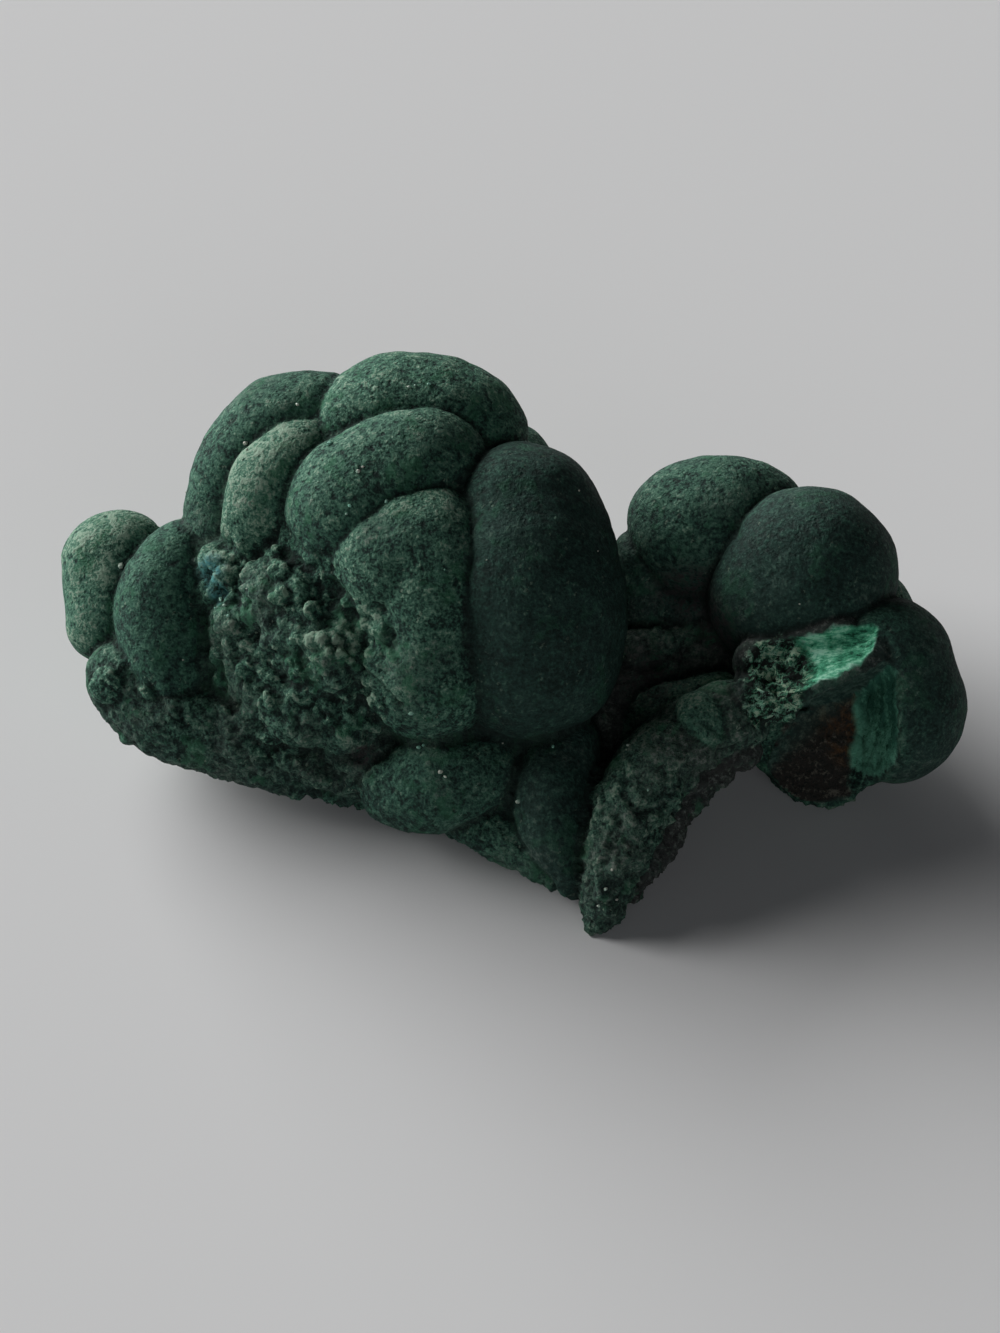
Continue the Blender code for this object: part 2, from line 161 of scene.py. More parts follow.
LINING = {"lining": [(18.4, -5.8, 12.0, 3.4), (20.1, -7.7, 11.6, 3.6), (22.4, -7.0, 12.0, 3.3)]}
# Behind and below, given as right, back and up from the floor.
BACK = {
    "dome_back_left": [(-13.2, 2.4, 11.0, 4.6)],
    "dome_back_middle": [(-8.4, 4.2, 13.4, 5.0), (-6.8, 4.6, 12.2, 4.8)],
    "dome_back_right": [(-1.4, 3.2, 11.6, 4.8)],
    "dome_back_low": [(-11.0, 4.0, 6.6, 4.1)],
    "dome_back_low_right": [(-4.2, 4.8, 6.2, 4.4)],
    "dome_corner_left": [(-15.2, -0.4, 5.4, 3.9)],
    "dome_corner_right": [(0.8, 0.6, 5.2, 3.9)],
    "dome_heel": [(-8.0, 3.4, 3.0, 4.0)],
    "dome_foot": [(-11.0, -3.5, 3.4, 4.2), (-6.5, -2.5, 2.9, 4.4), (-1.5, -4.0, 3.2, 4.2)],
    "left_back": [(-21.8, -1.6, 8.4, 3.5), (-19.4, -3.6, 5.4, 3.6)],
    "left_back_knob": [(-24.4, -4.2, 6.2, 3.0)],
    "bridge_back": [(3.6, -2.2, 8.2, 3.9), (7.4, -3.0, 5.8, 3.7), (11.0, -2.4, 5.6, 3.7)],
    "right_back": [(14.4, 1.2, 8.8, 4.1)],
    "right_back_side": [(19.0, -0.6, 7.4, 4.2)],
    "right_back_corner": [(23.0, -5.8, 7.4, 4.2)],
    "right_foot": [(13.8, -0.8, 3.4, 3.9), (18.0, -4.6, 4.4, 3.8)],
    "under_ridge": [(9.6, -12.6, 4.2, 3.4), (13.6, -11.6, 4.8, 3.4)],
    "right_toe": [(19.4, -13.6, 3.0, 3.3)],
}
GRAPES = [
    (-19.4, 5.2, 13.9, 1.3), (-18, 5.4, 14.4, 1.3), (-18.9, 3.5, 14.6, 1.1), (-14.8, 4.1, 17.5, 1.3),
    (-14.7, 2.6, 17.9, 1.3), (-19.1, -1, 14.7, 0.95), (-18.9, -2.6, 14.3, 0.95), (-17, -1.9, 16.0, 1.2),
    (-9.1, 1.2, 19.3, 1), (-12.2, -0.1, 19.1, 1.25), (-10.7, -1, 19.4, 1.1), (-13.6, -0.1, 18.7, 1.1),
    (-10.3, 2.5, 19.4, 0.95), (-11.7, 2.5, 18.5, 1), (-13.6, -2, 18.4, 1.1), (-15.6, -3.9, 16.6, 1.1),
    (-10.1, -3.3, 18.3, 1), (-11.7, -5.2, 17.7, 1), (-7.4, -0.1, 20.8, 1.05), (-8.4, -3.9, 19.6, 1),
]
# Corners of the wedge that is missing between the ridge and the far right lobe.
HOLLOW = [
    (22.8, -3.3, 15.0), (24.4, -1.2, 20.5), (25.2, -1.0, 26.0), (22.5, -10.4, 13.2), (24.9, -10.4, 19.0),
    (25.6, -10.4, 26.0), (18.6, -4.4, 15.2), (18.4, -4.0, 26.0), (16.5, -9.0, 13.4), (16.0, -12.5, 13.0),
    (16.0, -12.5, 26.0), (16.4, -9.0, 26.0),
]
# Corners of what broke off the rim above it and left the fresh, bright shelf.
SHELF = [
    (15.4, -0.7, 17.4), (23.7, 1.1, 18.4), (22.5, -1.5, 20.3), (18.6, -3.0, 20.0), (16.0, -3.8, 19.6),
    (15.4, -0.7, 26.0), (23.7, 1.1, 26.0), (22.5, -1.5, 26.0), (18.6, -3.0, 26.0), (16.0, -3.8, 26.0),
]
# Small pits in the break, with their radius.
PITS = [(16.6, -2.2, 18.9, 0.75), (17.6, -1.6, 19.0, 0.6), (15.5, -4.2, 19.2, 0.7), (17.1, -3.5, 19.5, 0.6)]
# Craggy places and how far the cragginess reaches, and the height under which all of it is craggy.
CRAGGY = [
    (6.5, -16.0, 19.5, 4.5), (8.5, -11.5, 19.5, 5.5), (12.0, -8.0, 18.5, 4.5), (16.0, -3.5, 19.0, 3.5),
    (20.0, -7.0, 14.5, 4.5), (-20.0, -7.0, 12.0, 4.0), (-13.0, -8.5, 12.5, 4.5), (0.0, -13.5, 14.5, 3.5),
]
CRAGGY_BELOW = 3.0
# Patches of another colour and how far each reaches; the spots at the foot tip and on the left are not a
# colour but painted shade, made darker.
STAINS = {
    "purple": [
        (14.0, 1.2, 14.2, 2.9), (12.0, 3.6, 12.6, 3.2), (-9.8, -7.4, 16.8, 1.2), (9.5, -4.0, 11.5, 4.5),
    ],
    "cyan": [(-19.7, 4.5, 14.8, 1.4), (-19.3, 3.1, 15.4, 1.0)],
    # Painted light: the nodules on the cobbles that catch the light are made paler.
    "painted_light": [
        (-12.4, -0.4, 19.6, 1.9), (-9.1, 1.8, 20.0, 2.4), (-10.2, -0.3, 20.0, 1.9), (-19.0, 5.0, 14.8, 1.6),
        (-9.4, -3.4, 19.4, 1.4),
    ],
    # Painted shade: these spots are made darker.
    "painted_shade": [(5.9, -16.6, 19.5, 2.4), (-15.5, 1.2, 17.0, 2.2)],
    "rust": [(21.6, -4.8, 15.0, 2.4), (22.3, -6.8, 14.2, 2.0)],
}


def on_slope(across, up, out):
    """The point, in millimetres, at a place on the slope."""
    back = up * math.cos(SLOPE) - out * math.sin(SLOPE)
    height = up * math.sin(SLOPE) + out * math.cos(SLOPE)
    return Vector((across, back, height)) + SHIFT


def on_floor(right, back, up):
    return Vector((right, back, up)) + SHIFT


def curve_point(before, start, end, after, t):
    """A Catmull-Rom curve through start and end."""
    return 0.5 * (
        2 * start
        + (end - before) * t
        + (2 * before - 5 * start + 4 * end - after) * t**2
        + (3 * start - before - 3 * end + after) * t**3
    )


def string_of_balls(places, place_at):
    """Balls along a smooth line through the places, close enough together to read as one lobe."""
    knots = [place_at(*place[:3]).to_4d() for place in places]
    for knot, place in zip(knots, places):
        knot.w = place[3]
    line = [knots[0]]
    last = len(places) - 1
    for i in range(last):
        ends = [knots[max(i - 1, 0)], knots[i], knots[i + 1], knots[min(i + 2, last)]]
        length = (knots[i + 1] - knots[i]).to_3d().length
        count = math.ceil(length / (BALL_STEP * min(knots[i].w, knots[i + 1].w)))
        line += [curve_point(*ends, step / count) for step in range(1, count + 1)]
    return [(knot.to_3d(), knot.w) for knot in line]


def strings(groups, place_at=on_slope):
    return {name: string_of_balls(places, place_at) for name, places in groups.items()}


def flat_list(lists):
    return [item for one in lists for item in one]


def scattered_grapes(hosts, body):
    """Small balls crowded over the host lobes, sunk in wherever the skin shows."""
    chance = random.Random(GRAPE_SEED)
    grapes = []
    for _ in range(GRAPE_COUNT * GRAPE_TRIES):
        centre, host_radius = chance.choice(hosts)
        way = Vector([chance.gauss(0, 1) for _ in range(3)]).normalized()
        radius = GRAPE_SMALLEST + (GRAPE_LARGEST - GRAPE_SMALLEST) * chance.random() ** 2
        spot = centre + way * (host_radius - GRAPE_SINK * radius)
        buried = any((spot - other).length < size - radius * GRAPE_SINK for other, size in body)
        crowded = any((spot - other).length < GRAPE_GAP * (radius + size) for other, size in grapes)
        if not (buried or crowded or spot.z < radius):
            grapes.append((spot, radius))
        if len(grapes) == GRAPE_COUNT:
            break
    return grapes


def unit_ball(rounds):
    shape = bmesh.new()
    bmesh.ops.create_icosphere(shape, subdivisions=rounds, radius=1)
    mesh = bpy.data.meshes.new("unit_ball")
    shape.to_mesh(mesh)
    shape.free()
    return mesh


def mesh_of_balls(name, balls):
    """One mesh holding every ball as its own closed sphere."""
    fine, coarse = unit_ball(3), unit_ball(2)
    shape = bmesh.new()
    for centre, radius in balls:
        ball = (fine if radius > FINE_BALL else coarse).copy()
        ball.transform(Matrix.Translation(centre * MM) @ Matrix.Scale(radius * MM, 4))
        shape.from_mesh(ball)
        bpy.data.meshes.remove(ball)
    mesh = bpy.data.meshes.new(name)
    shape.to_mesh(mesh)
    shape.free()
    return mesh


def wedge(name, corners):
    """The convex body round the corners, as a mesh."""
    shape = bmesh.new()
    for corner in corners:
        shape.verts.new(on_slope(*corner) * MM)
    bmesh.ops.convex_hull(shape, input=shape.verts)
    bmesh.ops.recalc_face_normals(shape, faces=shape.faces)
    mesh = bpy.data.meshes.new(name)
    shape.to_mesh(mesh)
    shape.free()
    return mesh


def change(body, kind, **settings):
    """Puts one modifier on the body and applies it."""
    modifier = body.modifiers.new(kind.lower(), kind)
    for name, value in settings.items():
        setattr(modifier, name, value)
    bpy.context.view_layer.update()
    made = bpy.data.meshes.new_from_object(body.evaluated_get(bpy.context.evaluated_depsgraph_get()))
    body.modifiers.clear()
    body.data = made


def cut_away(body, mesh):
    tool = bpy.data.objects.new(mesh.name, mesh)
    scene.collection.objects.link(tool)
    change(body, "BOOLEAN", operation="DIFFERENCE", solver="EXACT", object=tool)
    bpy.data.objects.remove(tool)


def split_finer(body, wanted):
    """Halves every edge between wanted points, so that finer relief fits there."""
    shape = bmesh.new()
    shape.from_mesh(body.data)
    edges = [edge for edge in shape.edges if wanted[edge.verts[0].index] and wanted[edge.verts[1].index]]
    bmesh.ops.subdivide_edges(shape, edges=edges, cuts=1, use_grid_fill=True)
    bmesh.ops.triangulate(shape, faces=[face for face in shape.faces if len(face.verts) > 4])
    shape.to_mesh(body.data)
    shape.free()


def points_of(mesh):
    flat = np.empty(len(mesh.vertices) * 3)
    mesh.vertices.foreach_get("co", flat)
    return flat.reshape(-1, 3) / MM


def normals_of(mesh):
    flat = np.empty(len(mesh.vertices) * 3, np.float32)
    mesh.vertex_normals.foreach_get("vector", flat)
    return flat.reshape(-1, 3).astype(float)


def move_points(mesh, points):
    mesh.vertices.foreach_set("co", (points * MM).ravel())
    mesh.update()


BLOCK = 3.0  # side of the blocks in which points look for their lobe, mm
FAR = 3.0  # a lobe further off than this is not looked at


class Lobes:
    """Every string of balls as a chain of tapered links, to tell how far a point is from the grown skin."""

    def __init__(self, chains):
        rows = []
        for number, balls in enumerate(chains):
            pairs = list(zip(balls, balls[1:])) or [(balls[0], balls[0])]
            rows += [(*a, ra, *(b - a), rb - ra, number) for (a, ra), (b, rb) in pairs]
        rows = np.array(rows)
        self.start, self.radius = rows[:, 0:3], rows[:, 3]
        self.along, self.taper, self.number = rows[:, 4:7], rows[:, 7], rows[:, 8].astype(int)
        self.middle = self.start + self.along / 2
        self.reach = np.linalg.norm(self.along, axis=1) / 2 + self.radius + np.abs(self.taper)

    def nearest(self, points):
        """Per point: how far out of the nearest lobe, which way, its number, how far out of the next."""
        blocks = np.floor(points / BLOCK).astype(int)
        _, block = np.unique(blocks, axis=0, return_inverse=True)
        block = block.reshape(-1)
        order = np.argsort(block, kind="stable")
        groups = np.split(order, np.flatnonzero(np.diff(block[order])) + 1)
        distance, way = np.empty(len(points)), np.empty((len(points), 3))
        lobe, second = np.empty(len(points), int), np.empty(len(points))
        for mine in groups:
            here = points[mine]
            middle = (here.min(0) + here.max(0)) / 2
            half = np.linalg.norm(here.max(0) - middle)
            gap = np.linalg.norm(self.middle - middle, axis=1) - self.reach - half
            near = gap <= max(gap.min(), FAR)
            start, along = self.start[near], self.along[near]
            away = here[:, None, :] - start[None]
            length = np.maximum((along**2).sum(1), 1e-9)
            t = np.clip((away * along[None]).sum(2) / length, 0, 1)
            away -= t[:, :, None] * along[None]
            far = np.linalg.norm(away, axis=2)
            out = far - self.radius[near] - t * self.taper[near]
            first = out.argmin(1)
            rows = np.arange(len(mine))
            distance[mine] = out[rows, first]
            way[mine] = away[rows, first] / np.maximum(far[rows, first], 1e-9)[:, None]
            number = self.number[near]
            lobe[mine] = number[first]
            out[number[None] == number[first][:, None]] = np.inf
            second[mine] = out.min(1)
        return distance, way, lobe, second


# How dusty and pale a lobe is, from 0 to 1, where it isn't the usual BLOOM.
BLOOM = 0.35
BLOOM_OF = {
    "inner_left": 0.62, "outer_left": 0.24, "top": 0.34, "far_left": 0.56, "near_left": 0.18,
    "upper": 0.30, "middle": 0.34, "right_bean": -0.11, "big_right": -0.10, "back_right": 0.24,
    "far_right": -0.02, "flank": -0.10, "under_dome": 0.15, "step": 0.20, "beside_it": 0.15,
    "valley_floor": 0.45, "valley_ledge": 0.40, "left_shoulder": 0.44, "left_brow": 0.34,
    "low_left": 0.26, "behind": 0.25,
    "lip": -0.15, "rim": -0.05, "ridge": 0.42, "ridge_side": 0.22, "ridge_knob": 0.4, "front_foot": 0.30,
}
# How brown with iron it is.
UMBER = 0.14
UMBER_OF = {
    "valley_floor": 0.6, "valley_ledge": 0.5, "ridge_side": 0.7, "beside_it": 0.3, "lip": 0.5,
    "rim": 0.4, "under_dome": 0.45, "flank": 0.10, "ridge": 0.42, "left_shoulder": 0.3,
    "left_brow": 0.30, "low_left": 0.33,
    "front_foot": 0.2, "middle": 0.20, "step": 0.22, "back_right": 0.18,
    "right_bean": 0.05, "big_right": 0.08, "top": -0.05, "far_left": 0.05, "near_left": 0.05,
}
smooth_chains = strings(MAIN_DOME) | strings(FRONT) | strings(LEFT_SIDE) | strings(RIGHT_SIDE)
smooth_chains |= strings(LINING) | strings(BACK, on_floor)
grapy_chains, ridge_chains = strings(GRAPY), strings(RIDGE)
grapy_balls, ridge_balls = flat_list(grapy_chains.values()), flat_list(ridge_chains.values())
body_balls = flat_list(smooth_chains.values()) + grapy_balls + ridge_balls
grapes = [(on_slope(*place[:3]), place[3]) for place in GRAPES]
grapes += scattered_grapes(grapy_balls, body_balls)
chains = smooth_chains | grapy_chains | ridge_chains
chains |= {f"grape_{i}": [grape] for i, grape in enumerate(grapes)}
lobes = Lobes(chains.values())
bloom_of_lobe = np.array([BLOOM_OF.get(name, BLOOM) for name in chains])
umber_of_lobe = np.array([UMBER_OF.get(name, UMBER) for name in chains])

skin = bpy.data.objects.new("malachite_skin", mesh_of_balls("malachite_skin", body_balls + grapes))
scene.collection.objects.link(skin)
change(skin, "REMESH", mode="VOXEL", voxel_size=SKIN_VOXEL * MM)
hollow_wedge, shelf_wedge = wedge("hollow", HOLLOW), wedge("shelf", SHELF)
cut_away(skin, hollow_wedge)
cut_away(skin, shelf_wedge)
for *pit, radius in PITS:
    cut_away(skin, mesh_of_balls("pit", [(on_slope(*pit), radius)]))
change(skin, "REMESH", mode="VOXEL", voxel_size=SKIN_VOXEL * MM)


def slope_places(points):
    """The same points as places on the slope: across, up and out."""
    right, back, height = (points - np.array(SHIFT)).T
    return np.column_stack([right, (back + height) * math.cos(SLOPE), (height - back) * math.cos(SLOPE)])


def nearness(places, spots):
    """From 0 away from the spots to 1 in the middle of one. A spot is a place and its reach."""
    most = np.zeros(len(places))
    for *spot, reach in spots:
        far = np.linalg.norm(places - np.array(spot), axis=1) / reach
        most = np.maximum(most, np.clip(2 * (1 - far), 0, 1))
    return most


BEND_SEED = 11  # noise_vector follows the clock until it is seeded
KNOB_BEND, KNOB_BEND_SIZE = 0.35, 1.6  # how far the knobs are bent out of line, and how finely


def sampled(points, size, pattern, where=None):
    """A noise pattern at every point, with features of that size in mm; 0 where the mask is 0."""
    values = np.zeros(len(points))
    for i in range(len(points)) if where is None else np.flatnonzero(where > 0):
        values[i] = pattern(Vector(points[i] / size))
    return values


noise.seed_set(BEND_SEED)


def knobs(point):
    """Rounded knobs side by side: 0 in a crease, 1 on top."""
    bent = point + KNOB_BEND * noise.noise_vector(point * KNOB_BEND_SIZE)
    nearest, following = noise.voronoi(bent)[0][:2]
    return 0.6 * max(0.0, 1 - nearest**2) + 0.4 * min(1.0, 2.5 * (following - nearest))


def rubble(point):
    return noise.turbulence(point, 3, True)


RUBBLE_MIDDLE = 0.6  # taken off rubble and knobs, so that they move the skin in as well as out
# Where small knobs cobble the skin, and where it is pitted and flaky.
COBBLED = [
    (-18.5, 4.2, 15.5, 3.4), (-13.6, 3.1, 18.0, 4.8), (-17.0, 0.0, 16.5, 4.6), (-11.6, -0.7, 19.5, 4.6),
    (-9.0, 0.0, 20.8, 3.2), (-14.3, -4.6, 17.2, 5.0), (-10.4, -4.5, 18.7, 4.4), (-13.8, -8.0, 15.8, 4.4),
]
FLAKY = [
    (-26.4, -4.0, 14.0, 4.0), (-23.0, -5.9, 14.5, 4.6), (-18.4, -6.5, 15.0, 4.8), (-13.8, -8.5, 15.5, 5.0),
    (-10.5, -9.1, 15.8, 4.0), (-16.5, -2.5, 16.5, 4.0), (6.5, -15.5, 18.5, 4.5), (9.5, -11.0, 18.0, 4.5),
    (13.0, -7.5, 17.5, 4.0), (0.0, -13.0, 15.5, 4.5), (4.0, -15.0, 17.5, 3.5), (16.3, -3.0, 19.0, 3.0),
    (10.4, -0.4, 12.2, 3.4), (8.0, -4.6, 13.0, 3.6), (9.5, -13.0, 15.6, 4.0), (12.8, -9.0, 15.6, 4.0),
]
KNOBS = [(3.1, 0.75), (1.6, 0.62), (0.8, 0.26)]  # size and height, mm
COBBLE_GRIT, COBBLE_GRIT_HEIGHT = 0.9, 0.30
FLAKES = [(1.4, 0.40), (0.62, 0.30)]
LEDGE_STRETCH = 1.7  # the knobs are drawn out this much along the ledges that run down to the right
GRITTY = [(16.8, -1.9, 18.8, 3.0), (16.6, -3.9, 19.4, 2.8)]
GRITTY_SIZE, GRITTY_HEIGHT = 1.1, 0.8
FIBRE = Vector((0.9, 0.42, 0.1)).normalized()  # way the fibres of the fresh break run, on the slope
FIBRE_STRETCH = 6.0
FIBRE_SIZE, FIBRE_HEIGHT, FIBRE_MIDDLE = 0.45, 0.16, 0.5
BROKEN_GRAIN, BROKEN_HEIGHT = 0.7, 0.22
# A point this far inside the lobes and this near a cut is on a break, in mm.
BROKEN_DEEP, CUT_MARGIN = 0.15, 0.4
CREASE_WIDE = 0.45  # how far from a crease the mesh is made finer, mm
CREASE_DEEP, CREASE_REACH = 0.22, 0.26
# One old crack across the cobbles, as places on the slope, in mm.
CRACK = [(-10.6, -0.4), (-9.0, -2.3), (-7.5, -3.9), (-6.9, -4.5)]
CRACK_DEEP, CRACK_REACH = 0.40, 0.16
CRACK_ABOVE = 15  # it is on the front only, where the skin stands out more than this, mm
# Painted highlight: lobes are palest along their edges by a crease, where those face the window light.
WINDOW_WAY = Vector((-0.74, 0.56, 0.38)).normalized()
HIGHLIGHT_FROM, HIGHLIGHT_REACH = 0.35, 0.7
RIND_FROM, RIND_SOFT = 21.0, 0.5  # where the banded green rind starts across the hollow's wall, mm
WAVER_SIZE, WAVER_REACH = 1.1, 0.8  # the rind's edge wavers this finely and this far, mm
WALL_TILT, WALL_SOFT = 0.25, 0.3  # a face tilted more than this is the hollow's wall or its roof
WAVER_TILT = 0.4  # how much the waver tilts the wall
ROUGH_ENOUGH = 0.2
SETTLE_ROUNDS = 3
DIP_ROUNDS = 4
BLOCK_SIDE = 120  # of the block under the floor that trims what hangs below it, mm


def inside_wedge(mesh, points):
    """Which points lie in the wedge or close to its sides."""
    centres = np.array([face.center for face in mesh.polygons]) / MM
    ways = np.array([face.normal for face in mesh.polygons])
    return ((points @ ways.T) - (centres * ways).sum(1) < CUT_MARGIN).all(1)


def broken_at(points, distance):
    """Which points lie on a break: inside the lobes, at the sides of what was cut away."""
    cut = inside_wedge(hollow_wedge, points) | inside_wedge(shelf_wedge, points)
    for *pit, radius in PITS:
        cut |= np.linalg.norm(points - np.array(on_slope(*pit)), axis=1) < radius + CUT_MARGIN
    return cut & (distance < -BROKEN_DEEP)


def craggy_at(points, places):
    """How craggy the skin is: in the craggy places, and all of it near the floor."""
    low = np.clip((CRAGGY_BELOW - points[:, 2]) / CRAGGY_BELOW * 2, 0, 1)
    return np.maximum(nearness(places, CRAGGY), low)


def settle(mesh):
    """Moves the grown points, those not on a break, onto their lobes; gives the points, how far out of the
    nearest lobe, its number and how far out of the next.
    """
    for _ in range(SETTLE_ROUNDS):
        points = points_of(mesh)
        distance, way, lobe, second = lobes.nearest(points)
        grown = ~broken_at(points, distance)
        points[grown] -= way[grown] * distance[grown, None]
        move_points(mesh, points)
    return points, distance, lobe, second


points, distance, lobe, second = settle(skin.data)
places = slope_places(points)
rough_skin = np.maximum(nearness(places, COBBLED + FLAKY), nearness(places, CRAGGY))
split_finer(skin, (rough_skin > ROUGH_ENOUGH) | broken_at(points, distance) | (second < CREASE_WIDE))
points, distance, lobe, second = settle(skin.data)
normals = normals_of(skin.data)
places = slope_places(points)
broken = broken_at(points, distance)
on_shelf = broken & inside_wedge(shelf_wedge, points)
in_hollow = broken & ~on_shelf
depth = np.maximum(-Lobes([chains["far_right"]]).nearest(points)[0], 0)
slope_ways = slope_places(normals + np.array(SHIFT))
waver = WAVER_REACH * sampled(points, WAVER_SIZE, noise.noise, in_hollow)
rind = in_hollow * np.clip((-slope_ways[:, 0] - WALL_TILT + WAVER_TILT * waver) / WALL_SOFT, 0, 1)
rind *= np.clip((places[:, 0] + waver - RIND_FROM) / RIND_SOFT, 0, 1)
# The faces of the hollow that look down, its roof, which are painted darker as painted shade.
roof = in_hollow * np.clip((-slope_ways[:, 1] - WALL_TILT) / WALL_SOFT, 0, 1)

ledged = places.copy()
down_right = (places[:, 0] - places[:, 1]) / math.sqrt(2)
ledged[:, :2] -= np.outer(down_right * (1 - 1 / LEDGE_STRETCH) / math.sqrt(2), (1, -1))
along = places @ np.array(FIBRE)
combed = places - np.outer(along * (1 - 1 / FIBRE_STRETCH), FIBRE)

crease = np.exp(-np.maximum(second - distance, 0) / CREASE_REACH) * ~broken
crack = np.full(len(places), np.inf)
for start, end in zip(np.array(CRACK), np.array(CRACK[1:])):
    along = np.clip(((places[:, :2] - start) @ (end - start)) / ((end - start) ** 2).sum(), 0, 1)
    off = places[:, :2] - start - along[:, None] * (end - start)
    crack = np.minimum(crack, np.linalg.norm(off, axis=1))
crack = np.exp(-((crack / CRACK_REACH) ** 2)) * (places[:, 2] > CRACK_ABOVE) * ~broken
# Painted highlight on the lobe edges by a crease that face the window.
rim = np.exp(-((np.maximum(second - distance, 0) - HIGHLIGHT_FROM) / HIGHLIGHT_REACH) ** 2) * ~broken
rim *= np.clip(normals @ np.array(WINDOW_WAY), 0, 1)
crag = craggy_at(points, places) * ~broken
cobbled = nearness(places, COBBLED) * ~broken
flaky = np.maximum(nearness(places, FLAKY), crag) * ~broken
height = LUMP_HEIGHT * sampled(points, LUMP_SIZE, noise.noise)
height += RIPPLE_HEIGHT * sampled(points, RIPPLE_SIZE, noise.noise)
height += crag * CRAG_HEIGHT * (sampled(points, CRAG_SIZE, rubble, crag) - RUBBLE_MIDDLE)
for size, tall in KNOBS:
    height += cobbled * tall * (sampled(ledged, size, knobs, cobbled) - RUBBLE_MIDDLE)
height += cobbled * COBBLE_GRIT_HEIGHT * (sampled(ledged, COBBLE_GRIT, rubble, cobbled) - RUBBLE_MIDDLE)
for size, tall in FLAKES:
    height += flaky * tall * (sampled(ledged, size, rubble, flaky) - RUBBLE_MIDDLE)
height -= CREASE_DEEP * crease + CRACK_DEEP * crack
gritty = nearness(places, GRITTY)
height += gritty * GRITTY_HEIGHT * (sampled(points, GRITTY_SIZE, rubble, gritty) - RUBBLE_MIDDLE)
height += on_shelf * FIBRE_HEIGHT * (sampled(combed, FIBRE_SIZE, rubble, on_shelf) - FIBRE_MIDDLE)
height += in_hollow * BROKEN_HEIGHT * (sampled(points, BROKEN_GRAIN, rubble, in_hollow) - RUBBLE_MIDDLE)
move_points(skin.data, points + normals * height[:, None])


def keep_on_points(name, values):
    """Stores a value per point, for the material to read."""
    layer = skin.data.attributes.new(name, "FLOAT", "POINT")
    layer.data.foreach_set("value", np.asarray(values, np.float32))


def hollowness(mesh, rounds):
    """Per point, how far its neighbours stand out past it, in mm, evened out over a few rounds."""
    ends = np.empty(len(mesh.edges) * 2, int)
    mesh.edges.foreach_get("vertices", ends)
    one, other = ends.reshape(-1, 2).T
    number = np.bincount(ends, minlength=len(mesh.vertices))

    def average(values):
        total = np.bincount(one, values[other], len(number)) + np.bincount(other, values[one], len(number))
        return total / np.maximum(number, 1)

    smooth = points_of(mesh)
    for _ in range(rounds):
        smooth = np.column_stack([average(smooth[:, axis]) for axis in range(3)])
    return ((smooth - points_of(mesh)) * normals_of(mesh)).sum(1)


keep_on_points("crease", crease)
keep_on_points("dip", hollowness(skin.data, DIP_ROUNDS))
# The painted highlight on the lit lobe edges.
keep_on_points("rim", rim)
keep_on_points("fresh", on_shelf)
keep_on_points("gritty", gritty)
keep_on_points("hollow", in_hollow)
keep_on_points("depth", depth)
keep_on_points("rind", rind)
keep_on_points("roof", roof)
keep_on_points("bloom", bloom_of_lobe[lobe])
keep_on_points("umber", umber_of_lobe[lobe])
keep_on_points("upward", normals[:, 2])
for name, spots in STAINS.items():
    keep_on_points(name, nearness(places, spots))

block = bpy.data.meshes.new("below_floor")
shape = bmesh.new()
bmesh.ops.create_cube(shape, size=BLOCK_SIDE * MM, matrix=Matrix.Translation((0, 0, -BLOCK_SIDE * MM / 2)))
shape.to_mesh(block)
shape.free()
cut_away(skin, block)
skin.data.shade_smooth()


class Nodes:
    """Shorthand for adding shader nodes to one tree."""

    def __init__(self, tree):
        self.tree = tree

    def add(self, kind, inputs=None, **settings):
        node = self.tree.nodes.new("ShaderNode" + kind)
        for name, value in settings.items():
            setattr(node, name, value)
        for name, value in (inputs or {}).items():
            if isinstance(value, bpy.types.NodeSocket):
                self.tree.links.new(value, node.inputs[name])
            else:
                node.inputs[name].default_value = value
        return node

    def value(self, name):
        """A number stored on the points."""
        return self.add("Attribute", attribute_name=name).outputs["Fac"]

    def math(self, operation, *values):
        """One sum on the values, such as ADD."""
        return self.add("Math", dict(enumerate(values)), operation=operation).outputs[0]

    def noise(self, vector, size, detail=2.0, rough=0.5):
        """Noise from 0 to 1 with features of that size in mm."""
        inputs = {"Vector": vector, "Scale": 1 / size, "Detail": detail, "Roughness": rough}
        return self.add("TexNoise", inputs).outputs["Fac"]

    def spots(self, vector, size, output="Distance"):
        """Cells with features of that size in mm."""
        return self.add("TexVoronoi", {"Vector": vector, "Scale": 1 / size}).outputs[output]

    def step(self, value, low, high, to_low=0.0, to_high=1.0):
        """The value spread from low..high to to_low..to_high, with soft ends."""
        inputs = {"Value": value, "From Min": low, "From Max": high, "To Min": to_low, "To Max": to_high}
        return self.add("MapRange", inputs, interpolation_type="SMOOTHSTEP").outputs["Result"]

    def mix(self, factor, below, above):
        """Two colours, of which the second shows as the factor nears 1."""
        node = self.add("Mix", data_type="RGBA")
        for socket, value in ((0, factor), (6, below), (7, above)):
            if isinstance(value, bpy.types.NodeSocket):
                self.tree.links.new(value, node.inputs[socket])
            else:
                node.inputs[socket].default_value = value if socket == 0 else (*value, 1)
        return node.outputs[2]

    def ramp(self, factor, stops):
        """Colours along the factor; stops are (place, colour)."""
        node = self.add("ValToRGB", {"Fac": factor})
        points = node.color_ramp.elements
        while len(points) < len(stops):
            points.new(1.0)
        for point, (position, colour) in zip(points, stops):
            point.position = position
        for point, (position, colour) in zip(points, stops):
            point.color = (*colour, 1)
        return node.outputs["Color"]

    def times(self, *values):
        """All the values multiplied together."""
        result = values[0]
        for value in values[1:]:
            result = self.math("MULTIPLY", result, value)
        return result


